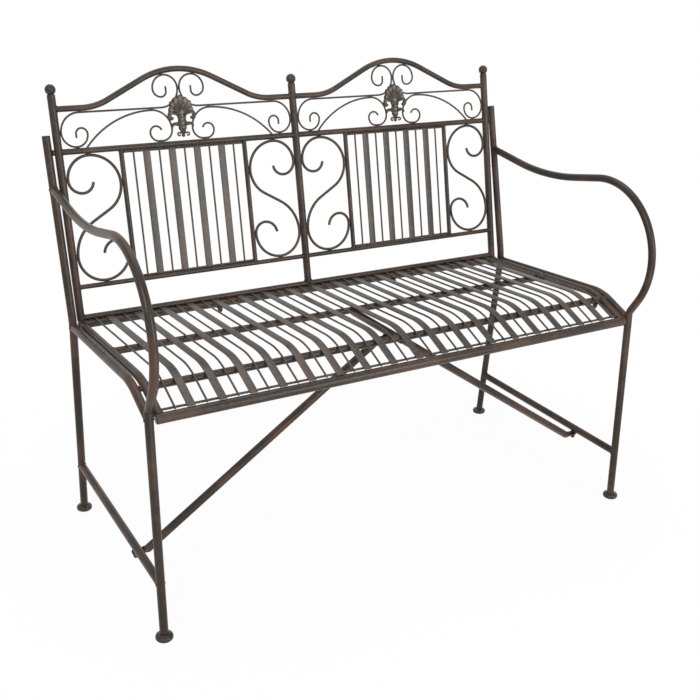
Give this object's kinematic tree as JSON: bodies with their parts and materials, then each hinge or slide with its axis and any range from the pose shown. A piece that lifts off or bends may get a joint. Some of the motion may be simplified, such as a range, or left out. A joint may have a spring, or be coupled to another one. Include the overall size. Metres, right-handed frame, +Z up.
{
  "type": "garden bench",
  "caption": "Metal garden bench for sitting outdoors, with slatted seat, bowed armrests, round legs and a double-arched backrest with scrolls and shell ornaments.",
  "frame": {"origin": "on the ground under the middle of the bench's bounding box", "axes": "+X to the right as seen from the front, -Y to the front where the sitter's legs go, +Z up"},
  "size_m": [1.113, 0.6139, 0.9295],
  "materials": {
    "frame_tube": "antique dark brown paint with a faint hammered grain, satin",
    "panel_tube": "antique dark brown paint with a faint hammered grain, satin",
    "slat": "antique dark brown paint, satin, a little worn on the flats",
    "scroll_wire": "antique dark brown paint, satin",
    "cast_shell": "antique dark brown paint, darker in the hollows",
    "foot": "antique dark brown paint, satin",
    "fastener": "dark painted steel"
  },
  "bodies": {
    "root": {"left_upright": "frame_tube", "right_upright": "frame_tube", "left_front_leg": "frame_tube", "right_front_leg": "frame_tube", "left_seat_bearer": "frame_tube", "right_seat_bearer": "frame_tube", "left_armrest": "frame_tube", "right_armrest": "frame_tube", "left_stretcher": "frame_tube", "right_stretcher": "frame_tube", "upright_caps": "frame_tube", "left_brace": "frame_tube", "right_brace": "frame_tube", "left_post": "panel_tube", "centre_post": "panel_tube", "right_post": "panel_tube", "finials": "panel_tube", "left_arch": "panel_tube", "right_arch": "panel_tube", "left_mid_rail": "panel_tube", "right_mid_rail": "panel_tube", "left_lower_rail": "panel_tube", "right_lower_rail": "panel_tube", "back_bottom_rail": "panel_tube", "left_panel_bars": "panel_tube", "right_panel_bars": "panel_tube", "seat_front_rail": "panel_tube", "seat_back_rail": "panel_tube", "left_seat_side_rail": "panel_tube", "right_seat_side_rail": "panel_tube", "front_crossbar": "panel_tube", "rear_crossbar": "panel_tube", "seat_centre_bar": "panel_tube", "left_panel_flat_slats": "slat", "right_panel_flat_slats": "slat", "left_panel_thin_rods": "slat", "right_panel_thin_rods": "slat", "left_panel_edge_rods": "slat", "right_panel_edge_rods": "slat", "seat_flat_slats": "slat", "seat_round_slats": "slat", "seat_edge_rods": "slat", "left_outer_side_scroll": "scroll_wire", "left_inner_side_scroll": "scroll_wire", "right_inner_side_scroll": "scroll_wire", "right_outer_side_scroll": "scroll_wire", "left_upper_crown_scrolls": "scroll_wire", "right_upper_crown_scrolls": "scroll_wire", "left_lower_crown_scrolls": "scroll_wire", "right_lower_crown_scrolls": "scroll_wire", "left_cast_shell": "cast_shell", "right_cast_shell": "cast_shell", "left_front_foot": "foot", "left_rear_foot": "foot", "right_front_foot": "foot", "right_rear_foot": "foot", "post_bolts": "fastener", "seat_bolts": "fastener", "brace_bolts": "fastener", "back_rail_bolts": "fastener"}
  },
  "joints": []
}
